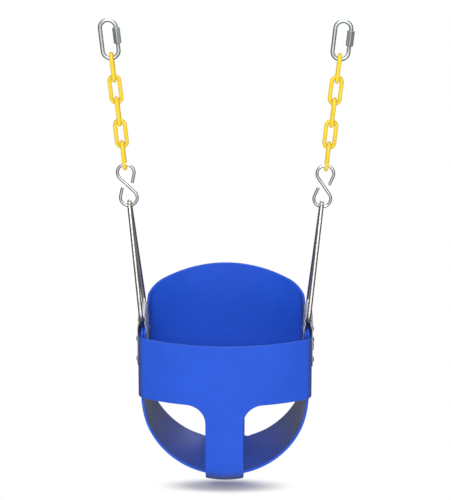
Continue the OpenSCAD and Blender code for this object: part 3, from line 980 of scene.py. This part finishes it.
rivets, washers = [], []
for side in (-1, 1):
    for y in (-44, -14):
        on_trough = (Matrix.Rotation(TILT, 4, "X") @ Matrix.Translation((0, 0, TROUGH_Z))
                     @ Matrix.Rotation(math.radians(side * 5.6), 4, "Y")
                     @ Matrix.Translation((0, y, -(SIDE_X + FOAM / 2))))
        foot = np.array(on_trough @ Matrix.Translation((0, 0, -FOAM - 0.3)))
        rivets.append(lathe(rivet_profile(2 * FOAM + 2.2), foot))
        top = np.array(on_trough @ Matrix.Translation((0, 0, FOAM + LAP_GAP)))
        washers.append(lathe(WASHER, top, 56))
build_turned("crotch_strap_rivets", rivets, rivet_steel, "strap_rivets")
build_turned("crotch_strap_washers", washers, clamp_steel, "strap_washers")

# ---------------------------------------------------------------- hangers
HANGER_HEIGHT, HANGER_HALF, HANGER_BEND = 223.0, 60.0, 10.0
apex = 263.0                             # sharp apex whose rounding tops out at HANGER_HEIGHT
for _ in range(12):
    apex_sine = HANGER_HALF / math.hypot(HANGER_HALF, apex)
    apex = HANGER_HEIGHT + HANGER_BEND * (1 / apex_sine - 1)
triangle = round_polygon([(-HANGER_HALF, 0), (HANGER_HALF, 0), (0, apex)], HANGER_BEND)
for side, side_name in SIDES:
    points, faces = tube(dense(triangle, 5.0, True), station(side, 0), 1,
                         lambda *_: HANGER_D / 2, closed=True, sides=32)
    build(side_name + "_hanger_rod", points, faces, [hanger_steel], "seat",
          side_name + "_hanger")

# ---------------------------------------------------------------- stations up the leaning line
GAP = 0.3                                # between touching wires
HOOK_D, EYE, HOOK_HALF = 6.0, 16.0, 25.0  # wire, eye radius, centre to eye centre
LINK_D, LINK_LENGTH, LINK_WIDTH = 8.2, 60.0, 27.0
QUICK_D, QUICK_LENGTH, QUICK_WIDTH = 8.0, 82.0, 38.0

hook_foot = HANGER_HEIGHT - (HANGER_D / 2 + HOOK_D / 2 + GAP)
hook_at = hook_foot + EYE + HOOK_HALF
hook_top = hook_at + HOOK_HALF + EYE
link_radius, link_straight = (LINK_WIDTH - LINK_D) / 2, LINK_LENGTH - LINK_WIDTH
link_half = link_straight / 2 + link_radius
first_link_at = hook_top - (HOOK_D / 2 + LINK_D / 2 + GAP) + link_half
link_pitch = 2 * link_half - LINK_D - GAP
quick_radius, quick_half = (QUICK_WIDTH - QUICK_D) / 2, (QUICK_LENGTH - QUICK_WIDTH) / 2
quick_at = (first_link_at + 4 * link_pitch + link_half - (LINK_D / 2 + QUICK_D / 2 + GAP)
            + quick_half + quick_radius)


# ---------------------------------------------------------------- S-hooks
def hook_path():
    joint = math.degrees(math.asin(EYE / HOOK_HALF))
    leave, tail = 18.0, 17.5                 # free end: degrees past the eye's side, length
    upper = arc(0, HOOK_HALF, EYE, -leave, 180 + joint, 46)
    x, z = upper[0]
    upper.insert(0, (x - tail * math.sin(math.radians(leave)),
                     z - tail * math.cos(math.radians(leave))))
    p = dense(upper + [(-x, -z) for x, z in upper[::-1]], 2.2, False)
    first, last = unit(p[1] - p[0]), unit(p[-1] - p[-2])
    extra = (0, 0.3, 0.6, 0.95)              # rings that round the cut ends
    return np.vstack([[p[0] + first * d for d in extra], p[1:-1],
                      [p[-1] - last * d for d in extra[::-1]]])


def hook_radius(length, total):
    end, rounding = min(length, total - length), 0.9
    if end >= rounding:
        return HOOK_D / 2
    return HOOK_D / 2 * (0.82 + 0.18 * math.sqrt(max(0.0, 1 - (1 - end / rounding) ** 2)))


for side, side_name in SIDES:
    points, faces = tube(hook_path(), station(side, hook_at), 0, hook_radius)
    sharpen(build(side_name + "_s_hook_wire", points, faces, [hook_steel], side_name + "_hook",
                  side_name + "_s_hook"), 40)

# ---------------------------------------------------------------- coated chain
rng = np.random.RandomState(7)


def chain_link(side, side_name, number):
    """Stadium-shaped link; odd ones lie in the y-z plane, even ones across it."""
    odd = number % 2
    path = dense(arc(0, link_straight / 2, link_radius, 0, 180, 22)
                 + arc(0, -link_straight / 2, link_radius, 180, 360, 22), 2.0, True)
    phases = rng.rand(3) * 6.28
    turns, straights = (1, 0.5) if odd else (2, 1.5)
    weld = turns * math.pi * link_radius + link_straight * straights

    def radius(length, total):
        """Coating that waves slightly and swells over the weld."""
        wave = (0.5 + 0.25 * math.sin(2 * math.pi * 2 * length / total + phases[0])
                + 0.25 * math.sin(2 * math.pi * 5 * length / total + phases[1]))
        bead = math.exp(-((length - weld) / 2.2) ** 2)
        return LINK_D / 2 * (0.972 + 0.010 * wave + 0.018 * bead)

    at = station(side, first_link_at + (number - 1) * link_pitch)
    points, faces = tube(path, at, 1 if odd else 0, radius, closed=True)
    node = f"{side_name}_link_{number}"
    build(node + "_coating", points, faces, [yellow], f"{side_name}_chain_link_{number}",
          node)
    core_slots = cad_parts[node + "_core"].data.materials
    core_slots.clear()
    core_slots.append(core_steel)


for side, side_name in SIDES:
    for number in range(1, 6):
        chain_link(side, side_name, number)

# ---------------------------------------------------------------- quick links and nuts
THREAD_RADIUS = (QUICK_D - 0.4) / 2      # radius of the threaded leg
THREAD_DEPTH, THREAD_PITCH = 0.18, 1.25
THREAD_LENGTH = 22.0
LEG_TOP, JAW_Z = 8.0, 18.0               # wire ends either side of the opening
TAPER = 0.8                              # from thread diameter to full wire
NUT_FLATS, NUT_LENGTH, NUT_Z = 14.0, 30.0, 6.0


def quick_path():
    """Down the right leg, round the foot, up the left leg and over the top."""
    leg_foot, fine_step = -16.0, 0.25
    leg = [(quick_radius, z) for z in np.arange(LEG_TOP, leg_foot - 0.01, -fine_step)]
    jaw = [(quick_radius, z) for z in np.arange(quick_half - 0.01, JAW_Z - 0.01, -fine_step)]
    rest = dense([(quick_radius, leg_foot), (quick_radius, -quick_half)]
                 + arc(0, -quick_half, quick_radius, 360, 180, 40)[1:]
                 + [(-quick_radius, quick_half)]
                 + arc(0, quick_half, quick_radius, 180, 0, 40)[1:], 2.0, False)
    return np.vstack([leg, rest[1:], jaw])


def thread(length):
    wave = math.cos(2 * math.pi * length / THREAD_PITCH)
    return THREAD_RADIUS - THREAD_DEPTH + THREAD_DEPTH * wave


def quick_wire_radius(length, total):
    full = QUICK_D / 2
    radius = full
    leg = LEG_TOP + quick_half               # the whole leg is at thread diameter
    jaw = quick_half - JAW_Z
    left = total - length
    if length < THREAD_LENGTH:
        radius = thread(length)
    elif length < leg:
        radius = THREAD_RADIUS
    elif length < leg + TAPER:
        radius = THREAD_RADIUS + (full - THREAD_RADIUS) * (length - leg) / TAPER
    if left < jaw:
        radius = thread(left)
    elif left < jaw + TAPER:
        radius = THREAD_RADIUS + (full - THREAD_RADIUS) * (left - jaw) / TAPER
    return radius * (1 if min(length, left) > 0.3 else 0.93)


def nut_mesh():
    """Hexagon nut along z with turned ends and a plain bore."""
    segments = 96
    angles = [2 * math.pi * (k + 0.5) / segments for k in range(segments)]
    heights = [0, 0.15, 0.4, 0.7, 1.0, 1.3, 1.6, 2.0, 2.6, 4, 8, 12, 15]
    heights += [NUT_LENGTH - h for h in heights[-2::-1]]
    corner = NUT_FLATS / math.sqrt(3) - 0.22
    points = []
    for h in heights:
        end = min(h, NUT_LENGTH - h)
        cone = NUT_FLATS / 2 + 1.2 * end / 1.6 if end < 1.6 else 1e3
        for a in angles:
            from_flat = (a + math.pi / 6) % (math.pi / 3) - math.pi / 6
            r = min(NUT_FLATS / 2 / math.cos(from_flat), corner, cone)
            points.append((r * math.cos(a), r * math.sin(a), h))
    bore, face, lead = THREAD_RADIUS + 0.08, 5.6, 0.35
    inside = [(face, NUT_LENGTH), (bore + lead, NUT_LENGTH), (bore, NUT_LENGTH - lead),
              (bore, lead), (bore + lead, 0.0), (face, 0.0)]  # radius, height
    points += [(r * math.cos(a), r * math.sin(a), h) for r, h in inside for a in angles]
    rings = len(heights) + len(inside)
    faces = []
    for i in range(rings):
        low, high = i * segments, (i + 1) % rings * segments
        for k in range(segments):
            m = (k + 1) % segments
            faces.append((low + k, low + m, high + m, high + k))
    return points, faces


for side, side_name in SIDES:
    at = station(side, quick_at)
    points, faces = tube(quick_path(), at, 0, quick_wire_radius, sides=32)
    sharpen(build(side_name + "_quick_link_wire", points, faces, [zinc], "beam_links",
                  side_name + "_quick_link"), 50)
    points, faces = nut_mesh()
    on_leg = at @ np.array(Matrix.Translation((quick_radius, 0, NUT_Z - NUT_LENGTH / 2)))
    sharpen(build(side_name + "_link_nut_body", place(on_leg, points), faces, [nut_zinc],
                  side_name + "_link_nut", side_name + "_nut"), 28)


# ---------------------------------------------------------------- floor
def floor_material():
    """Warm matt floor near the object, glowing white further out."""
    m = Material("studio_floor")
    m.surface(
        Base_Color=m.mix(m.fade(m.noise(scale=3, detail=2), start=0.3, end=0.7),
                         (0.88, 0.84, 0.745), (0.89, 0.85, 0.755)),
        Roughness=m.scaled(m.noise(scale=40, detail=2), gain=0.1, offset=0.85),
        Specular_IOR_Level=0.0)
    distance = m.node("VectorMath")
    distance.operation = "LENGTH"
    m.feed(distance.inputs[0], m.mapping(scale=(1, 3.2, 0), location=(0, 0.096, 0)))
    far = m.node("MapRange", Value=distance.outputs["Value"], From_Min=0.045, From_Max=0.145)
    far.interpolation_type = "SMOOTHSTEP"
    glow = m.node("Emission", Color=(1, 1, 1, 1), Strength=1.0)
    m.feed(m.tree.nodes["Material Output"].inputs["Surface"],
           m.mix_shader(far.outputs["Result"], m.shader.outputs[0], glow.outputs[0]))
    return m.material


FLOOR_Z, FLOOR_HALF = -0.030, 30
floor_mesh = bpy.data.meshes.new("floor")
floor_mesh.from_pydata([(x * FLOOR_HALF, y * FLOOR_HALF, FLOOR_Z)
                        for x, y in ((-1, -1), (1, -1), (1, 1), (-1, 1))], [], [(0, 1, 2, 3)])
floor = bpy.data.objects.new("floor", floor_mesh)
bpy.context.scene.collection.objects.link(floor)
floor_mesh.materials.append(floor_material())
floor.visible_glossy = False

# ---------------------------------------------------------------- world
# a pale studio: bright in front, behind and overhead, dim at the sides; white to the camera
world = bpy.data.worlds.new("studio")
bpy.context.scene.world = world
world.use_nodes = True
w = Nodes(world.node_tree, "Generated")
direction = w.node("SeparateXYZ", Vector=w.position)
backward = w.math("MULTIPLY_ADD", direction.outputs["Y"], 0.5, 0.5)
upward = w.math("MULTIPLY_ADD", direction.outputs["Z"], 0.5, 0.5)
walls = w.ramp(backward, (0.0, 0.85), (0.06, 0.72), (0.15, 0.26), (0.30, 0.07), (0.50, 0.02),
               (0.80, 0.05), (0.90, 0.30), (1.0, 0.75))
ceiling = w.ramp(upward, (0.0, 0.15), (0.5, 0.0), (0.72, 0.05), (0.88, 0.75), (1.0, 1.0))
ray = w.node("LightPath").outputs
reflected = w.node("Background", Color=w.mix(1.0, walls, ceiling, blend="ADD"), Strength=1.0)
ambient = w.tree.nodes["Background"]
w.feed_named(ambient, dict(
    Color=w.ramp(backward, (0.0, 1.0), (0.25, 0.85), (0.50, 0.22), (0.75, 0.20), (1.0, 0.42)),
    Strength=0.62))
seen = w.node("Background", Color=(1, 1, 1, 1), Strength=1.0)
lighting = w.mix_shader(ray["Is Glossy Ray"], ambient.outputs[0], reflected.outputs[0])
w.feed(w.tree.nodes["World Output"].inputs["Surface"],
       w.mix_shader(ray["Is Camera Ray"], lighting, seen.outputs[0]))


# ---------------------------------------------------------------- lights and camera
def add_aimed(name, data, location, direction):
    ob = bpy.data.objects.new(name, data)
    bpy.context.scene.collection.objects.link(ob)
    ob.location = location
    ob.rotation_mode = "QUATERNION"
    ob.rotation_quaternion = direction.to_track_quat("-Z", "Y")
    return ob


LIGHTS = (  # name, location, aim, size (m), power (W)
    ("key", (-0.35, -3.0, 1.75), (0, 0, 0.28), 1.3, 56),
    ("fill", (1.3, -2.6, 1.1), (0, 0, 0.25), 1.4, 12),
    ("overhead", (0.0, 0.05, 3.0), (0, 0, 0.0), 0.8, 30),
    ("behind", (0.5, 3.0, 1.6), (0, 0, 0.35), 1.4, 16),
    ("side_right", (3.0, -0.5, 1.1), (0, 0, 0.3), 1.2, 2.2),
    ("side_left", (-3.0, -0.5, 1.1), (0, 0, 0.3), 1.2, 2.2),
)
for name, location, aim, size, power in LIGHTS:
    light = bpy.data.lights.new(name, "AREA")
    light.energy = power
    light.size = size
    add_aimed(name, light, location, Vector(aim) - Vector(location))

AZIMUTH, ELEVATION = math.radians(1.2), math.radians(17.5)
CAMERA_DISTANCE = 5.5
CAMERA_TARGET = Vector((0.0, 0.0, 0.446))
to_camera = Vector((math.sin(AZIMUTH) * math.cos(ELEVATION),
                    -math.cos(AZIMUTH) * math.cos(ELEVATION), math.sin(ELEVATION)))
camera = bpy.data.cameras.new("camera")
camera.sensor_fit = "AUTO"
camera.sensor_width = 36.0
camera.lens = 205.92
camera.clip_end = 200
scene = bpy.context.scene
scene.camera = add_aimed("camera", camera, CAMERA_TARGET + to_camera * CAMERA_DISTANCE,
                         -to_camera)
scene.view_settings.view_transform = "Standard"
scene.view_settings.look = "None"
